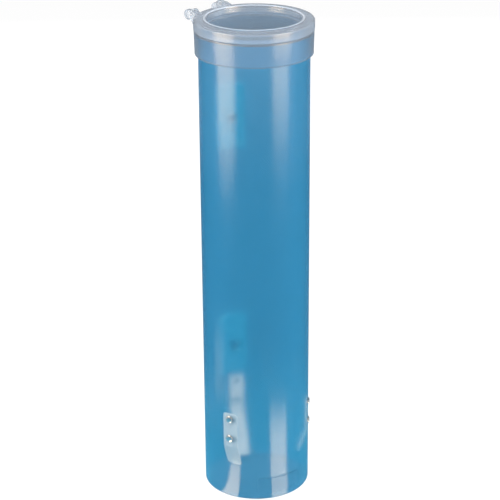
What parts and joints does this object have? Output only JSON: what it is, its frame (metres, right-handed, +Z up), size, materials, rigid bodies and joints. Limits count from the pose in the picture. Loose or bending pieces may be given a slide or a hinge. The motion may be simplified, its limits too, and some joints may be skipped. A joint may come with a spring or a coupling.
{
  "type": "cup dispenser",
  "caption": "Upright translucent tube that holds a stack of paper cups, with a frosted flip cap on top and sprung inner fingers at the bottom that give way as a cup is pulled out.",
  "frame": {"origin": "on the surface that the tube stands on, in the middle of the footprint of the whole object; the tube's axis is 5.4 mm in front of it", "axes": "+Z up along the tube, +Y towards the wall behind it, +X to the right of a person who faces the front"},
  "size_m": [0.0956, 0.1061, 0.41],
  "materials": {
    "tube plastic": "glossy translucent blue",
    "cap plastic": "frosted, milky and see-through",
    "finger plastic": "milky, satin",
    "rivet metal": "bright",
    "screw metal": "zinc plated",
    "clear sticker": "clear, with nothing on it",
    "saddle plastic": "moulded"
  },
  "bodies": {
    "housing": {"tube": "tube plastic", "cap_collar": "cap plastic", "front_label": "clear sticker", "lower_wall_saddle": "saddle plastic", "upper_wall_saddle": "saddle plastic", "lower_saddle_screw": "screw metal", "upper_saddle_screw": "screw metal", "back_finger_root": "finger plastic", "back_finger_rivet_bottom": "rivet metal", "back_finger_rivet_top": "rivet metal", "left_finger_root": "finger plastic", "left_finger_rivet_bottom": "rivet metal", "left_finger_rivet_top": "rivet metal", "right_finger_root": "finger plastic", "right_finger_rivet_bottom": "rivet metal", "right_finger_rivet_top": "rivet metal"},
    "lid": {"flip_lid": "cap plastic"},
    "back_finger": {"back_finger_blade": "finger plastic"},
    "left_finger": {"left_finger_blade": "finger plastic"},
    "right_finger": {"right_finger_blade": "finger plastic"}
  },
  "joints": [
    {"name": "lid_hinge", "type": "hinge", "parent": "housing", "child": "lid", "pos_m": [-0.02086, 0.04038, 0.4058], "axis": [-0.91, -0.4147, 0], "range_deg": [0, 110]},
    {"name": "back_finger_flex", "type": "hinge", "parent": "housing", "child": "back_finger", "pos_m": [0.0011, 0.03674, 0.0465], "axis": [0.9997, -0.0262, 0], "range_deg": [0, 16], "stiffness_Nm_per_rad": 0.05},
    {"name": "left_finger_flex", "type": "hinge", "parent": "housing", "child": "left_finger", "pos_m": [-0.03535, -0.02835, 0.0465], "axis": [-0.5446, 0.8387, 0], "range_deg": [0, 16], "stiffness_Nm_per_rad": 0.05},
    {"name": "right_finger_flex", "type": "hinge", "parent": "housing", "child": "right_finger", "pos_m": [0.03535, -0.02835, 0.0465], "axis": [-0.5446, -0.8387, 0], "range_deg": [0, 16], "stiffness_Nm_per_rad": 0.05}
  ]
}
